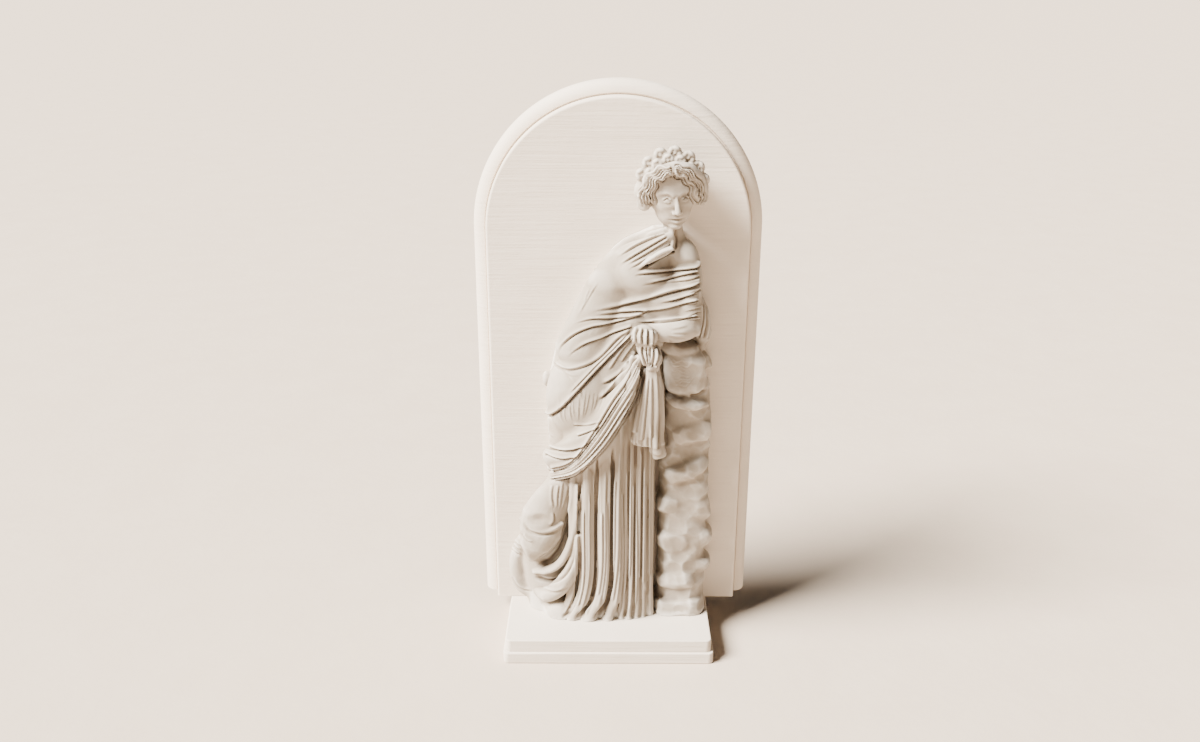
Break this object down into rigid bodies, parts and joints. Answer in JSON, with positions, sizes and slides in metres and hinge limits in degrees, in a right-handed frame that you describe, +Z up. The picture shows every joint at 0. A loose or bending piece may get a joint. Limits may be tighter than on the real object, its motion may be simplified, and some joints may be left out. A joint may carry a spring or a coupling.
{
  "type": "deity statue",
  "caption": "Plaster statuette of a wreathed goddess in a wrapped mantle, leaning on a rock, on a stepped plinth before a round-topped moulded panel.",
  "frame": {"origin": "middle of the whole piece's bounding box at the plinth's underside", "axes": "+Z up, +X to the viewer's right, +Y to the back, so the statue faces -Y"},
  "size_m": [0.158, 0.0664, 0.32],
  "materials": {
    "statue": "matte off-white cast plaster",
    "plinth": "matte off-white cast plaster",
    "back_panel": "matte warm off-white cast plaster"
  },
  "bodies": {
    "root": {"statue": "statue", "plinth": "plinth", "back_panel": "back_panel"}
  },
  "joints": []
}
